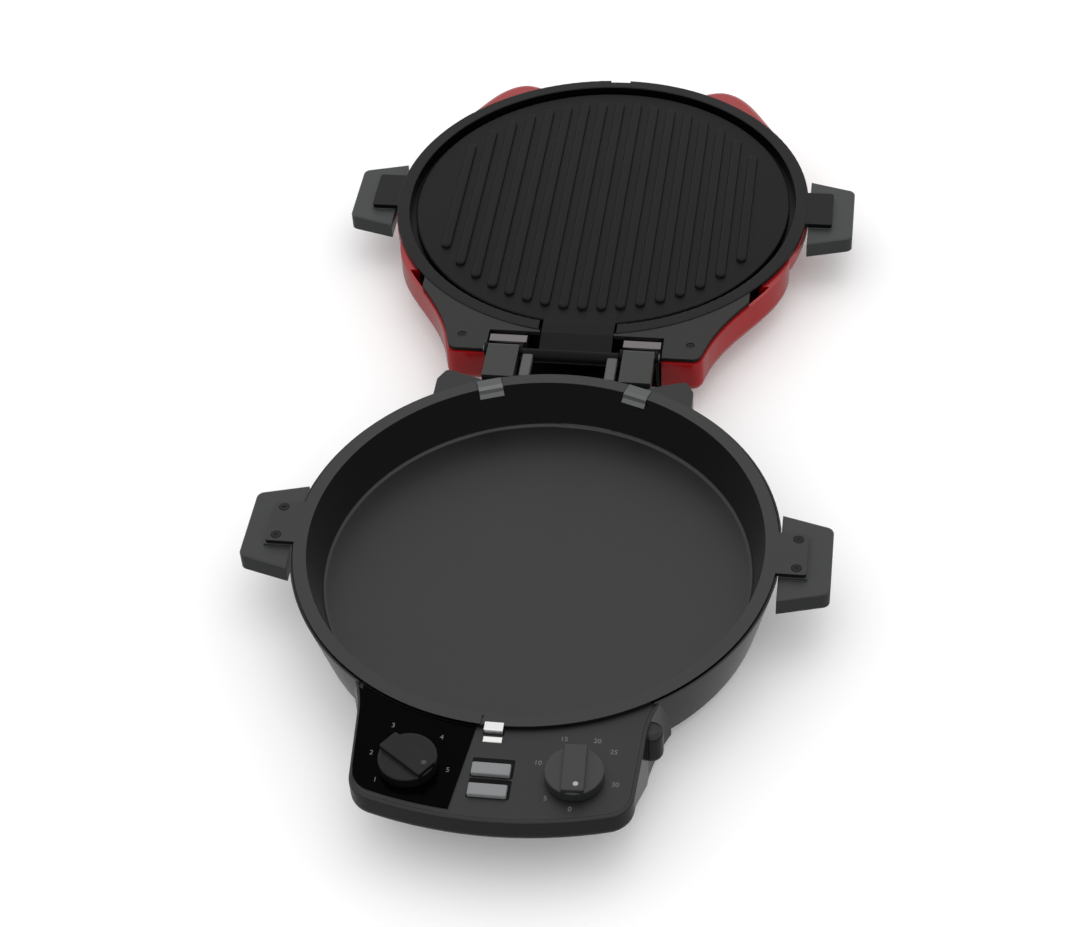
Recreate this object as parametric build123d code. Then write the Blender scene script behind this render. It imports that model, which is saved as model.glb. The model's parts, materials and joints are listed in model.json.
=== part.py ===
from build123d import *
import os

os.makedirs("parts", exist_ok=True)

# Round electric pizza maker, lid laid open flat behind the base, all sizes in millimetres.
# The origin is on the table under the middle of the open appliance, front towards -Y, up is +Z.

# Main stations
base_y = -165.0
hinge_y = 35.5
lid_y = 2 * hinge_y - base_y
rim_z = 64.0
hinge_z = rim_z - 5.5
closed_gap = 0.5
ring_z = 2 * hinge_z - rim_z - closed_gap

# Lower pan
rim_radius = 170.0
pan_top_radius = 160.7
pan_floor_radius = 152.45
pan_depth = 36.2
pan_wall = 2.2
flange_thick = 3.0
tab_half = 19.5
tab_end = 190.0

# Base housing
housing_top_radius = 172.2
housing_bottom_radius = 159.5
housing_wall = 2.5
housing_bottom_z = 11.0
lip_z = rim_z - 1.4
step_z = rim_z - flange_thick
rim_gap = 0.9
hinge_wall_radius = 166.0
pad_half = 66.0
pad_z = rim_z - 10.6
cover_thick = 1.2
gland_z = 22.5

# Control box
panel_z = rim_z - 3.4
box_low_z = rim_z - 24.0
fascia_thick = 2.5
fascia_end_radius = 164.5
gloss_thick = 0.8
knob_x = 53.6
knob_y = base_y - 204.7
knob_radius = 19.2
knob_skirt = 7.8
knob_height = 11.2
knob_bore = 8.0
lens_y = base_y - 179.4
shaft_radius = 3.0
running_gap = 0.05

# Handles
handle_root = 170.8
handle_tip = 207.0
handle_root_half = 41.0
handle_tip_half = 31.0
handle_drop = 4.5
handle_thick = 13.5
screw_x = 183.0
screw_y = 13.7
tab_sink = 1.3

# Lid
ring_inner = 159.5
ring_thick = 4.0
shell_radius = 170.5
shell_wall = 2.2
shell_top_z = ring_z - ring_thick
cover_top_z = ring_z - 0.5
plate_radius = 154.5
plate_recess = 3.5
plate_thick = 3.0
rib_pitch = 15.0
rib_width = 8.0
rib_height = 2.6
hinge_front_y = hinge_y + 5.7

# Hinge
pin_radius = 2.5
barrel_radius = 5.0
opening_half = 68.2
opening_z = 19.9
strap_front = hinge_y + 17.5
strap_end = hinge_y + 25.5
frame_wall_y = hinge_y + 34.5
clip_angle = 19.8


def box(x0, x1, y0, y1, z0, z1):
    """A block between two corners."""
    return Pos((x0 + x1) / 2, (y0 + y1) / 2, (z0 + z1) / 2) * Box(x1 - x0, y1 - y0, z1 - z0)


def disc(x, y, z0, z1, radius):
    """An upright cylinder between two heights."""
    return Pos(x, y, (z0 + z1) / 2) * Cylinder(radius, z1 - z0)


def rod_x(x0, x1, y, z, radius):
    """A cylinder lying along X."""
    return Pos((x0 + x1) / 2, y, z) * Rot(0, 90, 0) * Cylinder(radius, x1 - x0)


def rod_y(x, y0, y1, z, radius):
    """A cylinder lying along Y."""
    return Pos(x, (y0 + y1) / 2, z) * Rot(90, 0, 0) * Cylinder(radius, y1 - y0)


def frustum(y, z0, z1, r0, r1):
    """A cone piece standing on the centre line at y, radius r0 at z0 and r1 at z1."""
    return Pos(0, y, (z0 + z1) / 2) * Cone(r0, r1, z1 - z0)


def prism(points, z0, z1):
    """An upright prism over a closed outline of points."""
    face = make_face(Polyline(*points, close=True))
    return extrude(Pos(0, 0, z0) * face, z1 - z0)


def prism_x(points, x0, x1):
    """A prism along X over an outline of (y, z) points."""
    face = make_face(Polyline(*points, close=True))
    turned = Plane(origin=(x0, 0, 0), x_dir=(0, 1, 0), z_dir=(1, 0, 0)) * face
    return extrude(turned, x1 - x0)


def turned(points, y):
    """A body of revolution about the upright line at y, from (radius, z) points."""
    outline = make_face(Polyline(*points, close=True))
    upright = Plane(origin=(0, 0, 0), x_dir=(1, 0, 0), z_dir=(0, -1, 0)) * outline
    return Pos(0, y, 0) * revolve(upright, Axis.Z)


def largest(shape):
    """The largest solid of a shape."""
    return sorted(shape.solids(), key=lambda s: s.volume)[-1]


def mirrored(shape):
    """The same piece on the other side of the middle plane."""
    return mirror(shape, Plane.YZ)


def group(shapes):
    """Separate equal pieces kept as one part."""
    return Compound(children=list(shapes))


def save(shape, name):
    """Writes one part."""
    export_step(shape, "parts/" + name + ".step")


def box_plan(inset):
    """Plan of the control box, narrowed by an inset, its sides flaring into the round body."""
    y_root = base_y - 124.0
    y_flare = base_y - 162.0
    y_corner = base_y - 229.0
    left_flare = ThreePointArc((-108.5, y_root), (-100.4, base_y - 142.0), (-95.6, y_flare))
    left_side = Line((-95.6, y_flare), (-89.5, y_corner))
    front = ThreePointArc((-89.5, y_corner), (0, base_y - 244.2), (92.5, y_corner))
    right_side = Line((92.5, y_corner), (95.6, y_flare))
    right_flare = ThreePointArc((95.6, y_flare), (100.0, base_y - 142.0), (107.0, y_root))
    back = Line((107.0, y_root), (-108.5, y_root))
    face = make_face([left_flare, left_side, front, right_side, right_flare, back])
    corners = [v for v in face.vertices() if abs(v.Y - y_corner) < 1]
    face = fillet(corners, 19)
    if inset:
        face = offset(face, -inset)
    return face


def box_solid(inset, z_top):
    """Control box body, rounded below its front, with a wedge running down under the pan."""
    low = box_low_z + inset
    deep = housing_bottom_z + inset
    block = extrude(Pos(0, 0, low) * box_plan(inset), z_top - low)
    block = fillet(block.edges().group_by(Axis.Z)[0], 7.0 - inset)
    wedge = prism_x(
        [
            (base_y - 110, low + 8),
            (base_y - 214, low + 8),
            (base_y - 168, deep),
            (base_y - 110, deep),
        ],
        -120,
        120,
    )
    return block + (wedge & extrude(box_plan(inset), 100))


def lobe_plan(inset):
    """Plan of the right rear lobe of the base."""
    points = [
        (60, base_y + 120),
        (97, base_y + 120),
        (97, base_y + 160),
        (91, base_y + 171.5),
        (66, base_y + 163),
        (60, base_y + 160),
    ]
    face = make_face(Polyline(*points, close=True))
    face = fillet([v for v in face.vertices() if v.X > 90 and v.Y > base_y + 150], 4)
    if inset:
        face = offset(face, -inset)
    return face


def make_base_housing():
    """Black outer body of the base with rear lobes, hinge pad and control box."""
    outer = frustum(base_y, housing_bottom_z, lip_z, housing_bottom_radius, housing_top_radius)
    inner = frustum(
        base_y,
        housing_bottom_z - 0.01,
        lip_z + 0.01,
        housing_bottom_radius - housing_wall,
        housing_top_radius - housing_wall,
    )
    behind = box(-pad_half, pad_half, base_y + 140, base_y + 176, pad_z, rim_z + 1)
    outer = outer - (behind - disc(0, base_y, 0, 100, hinge_wall_radius))
    deck_top = rim_z - 2.0
    lobe_floor = housing_bottom_z + housing_wall
    lobe = extrude(Pos(0, 0, housing_bottom_z) * lobe_plan(0), deck_top - housing_bottom_z)
    lobe_in = extrude(Pos(0, 0, lobe_floor) * lobe_plan(housing_wall), deck_top - housing_wall - lobe_floor)
    pad = box(-pad_half, pad_half, base_y + 140, base_y + 169, housing_bottom_z, pad_z)
    pad_in = box(-63.5, 63.5, base_y + 130, base_y + 166.5, housing_bottom_z - 1, pad_z - housing_wall)
    body = outer + lobe + mirrored(lobe) + pad + make_side_column() + rounded_box()
    body = body - inner - pad_in - lobe_in - mirrored(lobe_in)
    body = body - box_solid(housing_wall, panel_z + 5)
    # Wall behind the pan where the hinge brackets stand
    ring = disc(0, base_y, 45, step_z, hinge_wall_radius) - disc(0, base_y, 40, 100, hinge_wall_radius - housing_wall)
    body = body + (ring & box(-63, 63, base_y + 140, base_y + 170, 0, 100))
    for s in (-1, 1):
        x0, x1 = sorted((s * 60.0, s * 62.5))
        body = body + box(x0, x1, base_y + 152.5, base_y + 162, 45, step_z)
    # Seat of the pan flange, with the gap round its edge
    body = body - disc(0, base_y, step_z, rim_z + 5, rim_radius + rim_gap)
    for s in (-1, 1):
        x0, x1 = sorted((s * (handle_root - 0.3), s * 176.0))
        body = body - box(x0, x1, base_y - 42, base_y + 42, 40, rim_z + 5)
        x0, x1 = sorted((s * 164.0, s * 176.0))
        body = body - box(x0, x1, base_y - tab_half - 1, base_y + tab_half + 1, step_z, rim_z + 5)
    body = body + make_fascia_ledge()
    # Holes for the hinge bracket screws
    for x in (45.5, 58.5, 32.5):
        for s in (-1, 1):
            body = body - rod_y(s * x, base_y + 160, base_y + 170, rim_z - 24, 1.6)
    gland = Pos(0, base_y, gland_z) * Rot(0, 0, 140) * Pos(160, 0, 0) * Rot(0, 90, 0) * Cylinder(8.05, 30)
    body = body - gland
    # Boss posts for the bottom cover screws
    for x, y in boss_places():
        post = disc(x, base_y + y, housing_bottom_z, housing_bottom_z + 11, 4.5)
        post = post & frustum(base_y, housing_bottom_z, lip_z, housing_bottom_radius - 1, housing_top_radius - 1)
        body = body + (post - disc(x, base_y + y, housing_bottom_z - 1, housing_bottom_z + 9, 1.4))
    return largest(body)


def rounded_box():
    """Control box body with its upper front edge rounded."""
    control = box_solid(0, panel_z)
    high = [e for e in control.edges().group_by(Axis.Z)[-1] if e.center().Y < base_y - 130]
    return fillet(high, 1.6)


def make_side_column():
    """Short round column at the right root of the control box."""
    column = disc(97.5, base_y - 157.5, rim_z - 34, rim_z - 6.5, 8.0)
    column = fillet(column.edges().group_by(Axis.Z)[0], 5.0)
    return fillet(column.edges().group_by(Axis.Z)[-1], 5.0)


def make_fascia_ledge():
    """Ledge inside the control box that carries the fascia."""
    z = panel_z - fascia_thick
    rim = extrude(Pos(0, 0, z - 2) * box_plan(1.0), 2) - extrude(Pos(0, 0, z - 3) * box_plan(5.0), 4)
    return rim & box(-120, 120, base_y - 250, base_y - 166, 0, 100)


def boss_places():
    """Bottom cover screw places about the base centre."""
    return [(0, 154.0), (-148, 40), (148, 40), (-148, -40), (148, -40)]


def foot_places():
    """Foot places about the base centre."""
    return [(-100, -100), (100, -100), (-100, 100), (100, 100)]


def make_bottom_cover():
    """Plate closing the base from below."""
    z0 = housing_bottom_z - cover_thick
    plate = disc(0, base_y, z0, housing_bottom_z, housing_bottom_radius - 0.6)
    for x, y in foot_places():
        plate = plate - disc(x, base_y + y, z0 - 1, housing_bottom_z + 1, 3.1)
    for x, y in boss_places():
        plate = plate - disc(x, base_y + y, z0 - 1, housing_bottom_z + 1, 1.7)
    for i in range(-4, 5):
        slot = box(i * 12 - 2, i * 12 + 2, base_y - 60, base_y - 28, z0 - 1, housing_bottom_z + 1)
        plate = plate - slot
        slot = box(i * 12 - 2, i * 12 + 2, base_y + 28, base_y + 60, z0 - 1, housing_bottom_z + 1)
        plate = plate - slot
    for a in (30, 150, 270):
        stand = Pos(0, base_y, 0) * Rot(0, 0, a) * Pos(128, 0, housing_bottom_z + 2) * Cylinder(4, 4)
        plate = plate + stand
    return largest(plate)


def make_foot(x, y):
    """Rubber foot with a push-in stem."""
    y = base_y + y
    foot = disc(x, y, 0, housing_bottom_z - cover_thick, 9.5)
    foot = chamfer(foot.edges().group_by(Axis.Z)[0], 1.0)
    stem = disc(x, y, housing_bottom_z - cover_thick - 1, housing_bottom_z + 0.2, 3.0)
    head = Pos(x, y, housing_bottom_z + 1.7) * Cone(4.4, 2.4, 3.0)
    return foot + stem + head


def make_screw_down(x, y, z_under, head_radius, head_high, shank_radius, shank):
    """Cross-head screw entering downwards, its head standing on z_under."""
    head = disc(x, y, z_under, z_under + head_high, head_radius)
    head = fillet(head.edges().group_by(Axis.Z)[-1], head_high * 0.45)
    body = head + disc(x, y, z_under - shank, z_under + 0.1, shank_radius)
    top = z_under + head_high
    slot = head_radius * 0.55
    body = body - box(x - slot, x + slot, y - 0.45, y + 0.45, top - 0.9, top + 1)
    body = body - box(x - 0.45, x + 0.45, y - slot, y + slot, top - 0.9, top + 1)
    return body


def make_bottom_screws():
    """Screws holding the bottom cover."""
    screws = []
    for x, y in boss_places():
        z0 = housing_bottom_z - cover_thick
        up = make_screw_down(0, 0, 0, 3.2, 1.6, 1.3, 9.5)
        screws.append(Pos(x, base_y + y, z0) * Rot(180, 0, 0) * up)
    return group(screws)


def make_lower_pan():
    """Deep round pan with its flange and two side tabs."""
    z_in = rim_z - pan_depth
    profile = [
        (0, z_in),
        (pan_floor_radius, z_in),
        (pan_top_radius, rim_z),
        (rim_radius, rim_z),
        (rim_radius, rim_z - flange_thick),
        (pan_top_radius + pan_wall, rim_z - flange_thick),
        (pan_floor_radius + pan_wall, z_in - pan_wall),
        (0, z_in - pan_wall),
    ]
    pan = turned(profile, base_y)
    inside = [e for e in pan.edges().filter_by(GeomType.CIRCLE) if abs(e.radius - pan_floor_radius) < 0.2]
    inside = [e for e in inside if abs(e.center().Z - z_in) < 0.2]
    try:
        pan = fillet(inside, 2.5)
    except Exception:
        pan = turned(profile, base_y)
    for s in (-1, 1):
        tab = box(min(s * 164, s * tab_end), max(s * 164, s * tab_end), base_y - tab_half, base_y + tab_half, rim_z - flange_thick, rim_z)
        tab = fillet([e for e in tab.edges().filter_by(Axis.Z) if abs(e.center().X) > 180], 2.5)
        pan = pan + tab
        for y in (-screw_y, screw_y):
            pan = pan - disc(s * screw_x, base_y + y, rim_z - 5, rim_z + 1, 2.3)
            pan = pan - disc(s * screw_x, base_y + y, rim_z - tab_sink, rim_z + 1, 3.7)
        # Notch for the rear clip
        notch = Rot(0, 0, -s * clip_angle) * box(-9.6, 9.6, 157.5, 175, rim_z - 1.3, rim_z + 1)
        pan = pan - Pos(0, base_y, 0) * notch
    # Notch at the front latch
    pan = pan - box(-12.2, -10.8, base_y - 175, base_y - 162.5, rim_z - 1.0, rim_z + 1)
    return largest(pan)


def handle_body(z_top):
    """Grip block on the right side, top face at z_top, standing about y = 0."""
    points = [
        (handle_root, -handle_root_half),
        (handle_tip, -handle_tip_half),
        (handle_tip, handle_tip_half),
        (handle_root, handle_root_half),
    ]
    body = prism(points, z_top - handle_thick, z_top)
    tip = [e for e in body.edges().filter_by(Axis.Z) if e.center().X > 200]
    body = fillet(tip, 6)
    rims = [e for e in body.edges().group_by(Axis.Z)[-1] if e.center().X > handle_root + 1]
    body = fillet(rims, 1.5)
    grip = prism(
        [
            (handle_root + 8, -24),
            (handle_tip - 7, -20),
            (handle_tip - 7, 20),
            (handle_root + 8, 24),
        ],
        z_top - handle_thick - 1,
        z_top - handle_thick + 4,
    )
    return body - grip


def make_base_handle(side):
    """Side grip under the tab of the pan."""
    top = rim_z - handle_drop
    body = Pos(0, base_y, 0) * handle_body(top)
    raised = box(handle_root, tab_end + 1, base_y - tab_half - 1, base_y + tab_half + 1, top - 1, rim_z - flange_thick)
    body = body + raised
    for y in (-screw_y, screw_y):
        body = body - disc(screw_x, base_y + y, top - 8.0, rim_z + 1, 1.9)
    return body if side > 0 else mirrored(body)


def make_base_handle_screws():
    """Four cross-head screws through the pan tabs."""
    screws = []
    for s in (-1, 1):
        for y in (-screw_y, screw_y):
            screws.append(make_screw_down(s * screw_x, base_y + y, rim_z - tab_sink, 3.5, 1.5, 1.85, 10))
    return group(screws)


def make_lower_reflector():
    """Bright dish under the lower element."""
    z = housing_bottom_z + 4
    profile = [
        (15, z),
        (140, z),
        (148, z + 7),
        (150.5, z + 7),
        (150.5, z + 7.8),
        (147.5, z + 7.8),
        (139.5, z + 0.8),
        (15, z + 0.8),
    ]
    dish = turned(profile, base_y)
    for s in (-1, 1):
        dish = dish - disc(s * 14, base_y - 105, z - 1, z + 3, 4.6)
    return largest(dish)


def element_tube(y, z, radius, tube, end_z, gap_half):
    """Open ring of tube with both ends turned down to end_z at the front."""
    start_x = gap_half
    run = (radius**2 - start_x**2) ** 0.5
    arc = ThreePointArc((start_x, y - run, z), (0, y + radius, z), (-start_x, y - run, z))
    ring = sweep(Plane(origin=arc @ 0, z_dir=arc % 0) * Circle(tube), path=arc)
    drops = []
    for s in (-1, 1):
        elbow = Pos(s * start_x, y - run, z) * Sphere(tube)
        low = min(z, end_z)
        high = max(z, end_z)
        drops.append(elbow + disc(s * start_x, y - run, low, high, tube))
    return ring + drops[0] + drops[1]


def make_lower_element():
    """Tubular heater under the pan floor."""
    z = rim_z - pan_depth - pan_wall - 3.5
    return element_tube(base_y, z, 106.0, 3.2, housing_bottom_z + 1.5, 14.0)


def make_lower_saddles():
    """Three saddles carrying the lower element above the dish."""
    z = rim_z - pan_depth - pan_wall - 3.5
    pieces = []
    for a in (30, 150, 90):
        low = housing_bottom_z + 4.8
        post = Pos(0, base_y, 0) * Rot(0, 0, a) * Pos(106, 0, (low + z) / 2) * Box(10, 8, z - low)
        pieces.append(post - lower_ring_tool(z))
    return group(pieces)


def lower_ring_tool(z):
    """Ring used to hollow the saddles."""
    return Pos(0, base_y, z) * Torus(106.0, 3.25)


def make_lower_thermostat():
    """Sensor capsule that touches the middle of the pan from below."""
    top = rim_z - pan_depth - pan_wall
    body = disc(0, base_y, housing_bottom_z, top - 3.0, 11.0)
    cap = disc(0, base_y, top - 3.0, top - 0.2, 8.0)
    return body + fillet(cap.edges().group_by(Axis.Z)[-1], 1.0)


def make_thermal_fuse():
    """Cut-out in a clamp on the bottom cover."""
    z = housing_bottom_z
    clamp = box(34, 46, base_y - 5, base_y + 5, z, z + 1.2)
    barrel = rod_x(30, 50, base_y, z + 2.3, 1.6)
    strap = box(37, 43, base_y - 2.6, base_y + 2.6, z + 0.5, z + 3.8) - rod_x(30, 50, base_y, z + 2.3, 1.6)
    return largest(clamp + strap + barrel)


def make_terminal_block():
    """Screw terminals for the supply wires."""
    z = housing_bottom_z + housing_wall
    y = base_y - 151
    body = box(-84, -56, y - 6, y + 6, z, z + 8.5)
    for i in range(3):
        x = -79 + i * 9
        body = body - disc(x, y, z + 3, z + 9, 2.2)
        body = body - rod_y(x, y - 9, y + 9, z + 2.4, 1.4)
    return largest(body)


def make_cord_gland():
    """Bushing in the left rear wall where the supply lead enters."""
    flange = Pos(166.5, 0, 0) * Rot(0, 90, 0) * Cylinder(10.5, 2.6)
    flange = fillet(flange.edges().group_by(Axis.X)[-1], 1.0)
    neck = Pos(161.2, 0, 0) * Rot(0, 90, 0) * Cylinder(8.0, 8.6)
    hole = Pos(160, 0, 0) * Rot(0, 90, 0) * Cylinder(3.9, 40)
    place = Pos(0, base_y, gland_z) * Rot(0, 0, 140)
    return place * (flange + neck - hole)


def make_control_fascia():
    """Dark panel closing the control box."""
    plate = extrude(Pos(0, 0, panel_z - fascia_thick) * box_plan(housing_wall + 0.15), fascia_thick)
    plate = plate - disc(0, base_y, panel_z - 10, panel_z + 10, fascia_end_radius)
    for s in (-1, 1):
        plate = plate - disc(s * knob_x, knob_y, panel_z - 10, panel_z + 10, 4.9)
    for y in button_rows():
        plate = plate - box(-13.1, 13.1, y - 5.1, y + 5.1, panel_z - 10, panel_z + 10)
    plate = plate - box(-9.8, 3.8, base_y - 175.2, base_y - 170.3, panel_z - 10, panel_z + 10)
    plate = plate - box(-9.3, 3.3, lens_y - 2.3, lens_y + 2.3, panel_z - 1.5, panel_z + 10)
    return largest(plate)


def button_rows():
    """Middle lines of the two push buttons."""
    return [base_y - 204.6, base_y - 221.3]


def make_gloss_insert():
    """Glossy black overlay round the left knob."""
    plate = extrude(Pos(0, 0, panel_z) * box_plan(1.8), gloss_thick)
    cut = prism(
        [
            (-14.0, base_y - 162),
            (-24.0, base_y - 247),
            (130, base_y - 247),
            (130, base_y - 100),
            (-14.0, base_y - 100),
        ],
        panel_z - 1,
        panel_z + 5,
    )
    plate = plate - cut
    plate = plate - disc(0, base_y, panel_z - 1, panel_z + 5, rim_radius + rim_gap)
    plate = plate - (disc(0, base_y, panel_z - 1, panel_z + 5, 174) & box(-130, -95, base_y - 150, base_y, 0, 100))
    front = extrude(Pos(0, 0, panel_z - 1) * box_plan(1.8), 5)
    front = front - extrude(Pos(0, 4.5, panel_z - 1) * box_plan(1.8), 5)
    plate = plate - (front & box(-120, 120, base_y - 250, base_y - 210, panel_z - 2, panel_z + 5))
    plate = plate - disc(-knob_x, knob_y, panel_z - 1, panel_z + 5, 6.5)
    return largest(plate)


def make_knob(x, z0, angle):
    """Round knob with a raised bar grip."""
    skirt = disc(0, 0, 0, knob_skirt, knob_radius)
    skirt = fillet(skirt.edges().group_by(Axis.Z)[-1], 1.3)
    bar = box(-7.5, 7.5, -knob_radius + 0.8, knob_radius - 0.8, knob_skirt - 2, knob_height)
    bar = fillet(bar.edges().filter_by(Axis.Z), 1.6)
    bar = fillet(bar.edges().group_by(Axis.Z)[-1], 1.2)
    knob = skirt + bar
    knob = knob - disc(0, 0, -1, 0.9, knob_radius - 2.0)
    knob = knob - disc(0, 0, -1, knob_bore, shaft_radius + 0.02)
    knob = knob - disc(2.0, -13.4, knob_height - 0.3, knob_height + 1, 1.9)
    return Pos(x, knob_y, z0) * Rot(0, 0, angle) * knob


def make_shaft(x, z_bottom, z_top):
    """Steel spindle of a control."""
    spindle = disc(x, knob_y, z_bottom, z_top, shaft_radius)
    return chamfer(spindle.edges().group_by(Axis.Z)[-1], 0.4)


def make_thermostat():
    """Adjustable thermostat hung under the left of the panel."""
    top = panel_z - fascia_thick
    body = box(-knob_x - 16, -knob_x + 16, knob_y - 12, knob_y + 12, top - 15, top - 1.5)
    bracket = box(-knob_x - 19, -knob_x + 19, knob_y - 8, knob_y + 8, top - 1.5, top)
    bush = disc(-knob_x, knob_y, top - 1, panel_z - 0.1, 4.7)
    body = body + bracket + bush
    body = body - disc(-knob_x, knob_y, top - 13, panel_z + 5, shaft_radius + running_gap)
    for s in (-1, 1):
        tag = box(-knob_x + s * 8 - 3, -knob_x + s * 8 + 3, knob_y + 12, knob_y + 19, top - 12, top - 11.2)
        body = body + tag
    return largest(body)


def make_timer():
    """Clockwork timer hung under the right of the panel."""
    top = panel_z - fascia_thick
    drum = disc(knob_x, knob_y, top - 15.5, top - 1.5, 16)
    bracket = box(knob_x - 20, knob_x + 20, knob_y - 7, knob_y + 7, top - 1.5, top)
    bush = disc(knob_x, knob_y, top - 1, panel_z - 0.1, 4.7)
    body = drum + bracket + bush
    body = body - disc(knob_x, knob_y, top - 13, panel_z + 5, shaft_radius + running_gap)
    for s in (-1, 1):
        tag = box(knob_x + s * 7 - 3, knob_x + s * 7 + 3, knob_y + 12, knob_y + 21, top - 12, top - 11.2)
        body = body + tag
    return largest(body)


def make_button(y):
    """Flat push button with a round stem."""
    top = panel_z + 3.2
    cap = box(-12.6, 12.6, y - 4.6, y + 4.6, panel_z - 4.0, top)
    cap = fillet(cap.edges().filter_by(Axis.Z), 1.0)
    cap = fillet(cap.edges().group_by(Axis.Z)[-1], 0.9)
    stem = disc(0, y, panel_z - 9.5, panel_z - 3.5, 2.5)
    return cap + stem


def make_switch_block():
    """Twin switch body under the push buttons."""
    rows = button_rows()
    top = panel_z - fascia_thick
    body = box(-17, 17, rows[1] - 7, rows[0] + 8, top - 10.5, top)
    for y in rows:
        body = body - box(-13.2, 13.2, y - 5.2, y + 5.2, top - 4.5, top + 1)
        body = body - disc(0, y, top - 9.5, top + 1, 2.5 + running_gap)
    for x in (-10, 0, 10):
        body = body + box(x - 2.4, x + 2.4, rows[0] + 7, rows[0] + 14, top - 9, top - 8.2)
    return largest(body)


def make_pilot_lens():
    """Clear window of the pilot lamp."""
    lens = box(-9.2, 3.2, lens_y - 2.2, lens_y + 2.2, panel_z - 1.5, panel_z + 0.7)
    return fillet(lens.edges().group_by(Axis.Z)[-1], 0.5)


def make_pilot_lamp():
    """Small neon lamp below the panel."""
    y = lens_y
    top = panel_z - fascia_thick
    body = rod_x(-8.5, 2.5, y, top - 3.0, 2.4)
    clip = box(-5, -1, y - 3.2, y + 3.2, top - 6.0, top) - rod_x(-20, 20, y, top - 3.0, 2.4)
    return largest(body + clip)


def make_pan_latch():
    """Spring latch hooked over the front of the pan flange."""
    y_out = base_y - 174.9
    top = rim_z + 1.0
    bar = box(-9.2, 3.2, y_out, base_y - rim_radius - 0.5, panel_z + 0.3, top)
    hook = box(-9.2, 3.2, base_y - rim_radius - 0.6, base_y - 168.3, rim_z + 0.1, top)
    stem = box(-8.2, 2.2, base_y - 172.0, base_y - 171.0, panel_z - 11, panel_z + 0.8)
    bar = bar + hook
    front = [e for e in bar.edges().filter_by(Axis.X) if e.center().Y < y_out + 0.1 and e.center().Z > rim_z]
    bar = fillet(front, 0.6)
    return largest(bar + stem)


def make_latch_spring():
    """Leaf spring behind the latch, bent over under the fascia."""
    z = panel_z - fascia_thick
    leaf = box(-6.0, 0.0, base_y - 171.0, base_y - 170.5, panel_z - 10.6, z)
    return leaf + box(-6.0, 0.0, base_y - 171.0, base_y - 166.0, z - 0.5, z)


def frame_ear(x0, x1):
    """Side plate of the lid hinge frame, from its trough to the hinge pin."""
    under_strap = ring_z - 2.4
    under_cover = shell_top_z - 0.2
    points = [
        (hinge_y + 1.0, hinge_z + barrel_radius - 0.12),
        (hinge_y + 4.0, hinge_z + 3.0),
        (hinge_y + 17.0, under_strap),
        (strap_end, under_strap),
        (strap_end + 2.0, under_cover),
        (frame_wall_y + 1.0, under_cover),
        (frame_wall_y + 1.0, opening_z + 0.6),
        (hinge_y + 10.0, opening_z + 0.6),
        (hinge_y + 6.5, opening_z + 6.0),
        (hinge_y - 3.0, hinge_z - barrel_radius + 1.0),
        (hinge_y - 4.0, hinge_z - 2.0),
    ]
    side = prism_x(points, x0, x1)
    side = side + rod_x(x0, x1, hinge_y, hinge_z, barrel_radius)
    return side - rod_x(x0 - 1, x1 + 1, hinge_y, hinge_z, pin_radius + running_gap)


def make_hinge_frame():
    """Black trough of the lid that carries the four hinge ears."""
    half = opening_half - 0.1
    front = hinge_y + 10.0
    top = shell_top_z - 0.2
    frame = box(-half, half, front, frame_wall_y + 1.5, opening_z + 0.1, opening_z + 1.6)
    frame = frame + box(-half, half, frame_wall_y, frame_wall_y + 1.5, opening_z + 0.1, top)
    for s in (-1, 1):
        x0, x1 = sorted((s * half, s * (half - 1.2)))
        frame = frame + box(x0, x1, front, frame_wall_y + 1.5, opening_z + 0.1, top)
        for a, b in ((37.3, 39.6), (64.5, 66.8)):
            x0, x1 = sorted((s * a, s * b))
            frame = frame + frame_ear(x0, x1)
    # Room for the spout of the upper plate and the lead
    frame = frame - box(-29.5, 29.5, hinge_y + 5, hinge_y + 40, ring_z - 11.5, ring_z + 5)
    frame = frame - rod_y(0, frame_wall_y - 2, frame_wall_y + 4, opening_z + 10, 4.0)
    return largest(frame)


def make_hinge_strap(side):
    """Steel strap bolted over the ears of the hinge frame."""
    top = ring_z - 0.3
    strap = box(37.6, 66.5, strap_front, strap_end, top - 2.0, top)
    strap = fillet(strap.edges().filter_by(Axis.X), 0.5)
    return strap if side > 0 else mirrored(strap)


def make_hinge_post(side):
    """Fixed hinge bracket of the base with its barrel."""
    top = hinge_z + 4.7
    post = box(40.0, 64.0, base_y + 166.2, hinge_y, rim_z - 10.5, top)
    post = post + rod_x(40.0, 64.0, hinge_y, hinge_z, 4.7)
    post = post + box(40.0, 64.0, base_y + 169.1, base_y + 174.5, rim_z - 34, top - 1)
    gusset = prism_x(
        [(base_y + 174, rim_z - 10.4), (hinge_y - 8, rim_z - 10.4), (base_y + 174, rim_z - 28)],
        50.0,
        54.0,
    )
    post = post + gusset
    post = post - rod_x(39, 65, hinge_y, hinge_z, pin_radius + 0.01)
    for x in (45.5, 58.5):
        post = post - rod_y(x, base_y + 165, base_y + 176, rim_z - 24, 2.0)
    post = largest(post)
    return post if side > 0 else mirrored(post)


def make_hinge_knuckle(side):
    """Steel bracket holding the wire tube beside the hinge."""
    top = hinge_z + 3.4
    front = base_y + 169.1
    part = box(28.4, 36.6, front, hinge_y - 7.0, top - 4.5, top)
    part = fillet(part.edges().filter_by(Axis.Y).group_by(Axis.Z)[-1], 1.5)
    part = part + box(28.4, 36.6, front, front + 3.0, rim_z - 34, top - 2)
    part = part - rod_x(20, 45, hinge_y - 3.2, hinge_z - 1.2, 5.21)
    part = part - rod_y(32.5, base_y + 165, base_y + 176, rim_z - 24, 2.0)
    part = largest(part)
    return part if side > 0 else mirrored(part)


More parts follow.
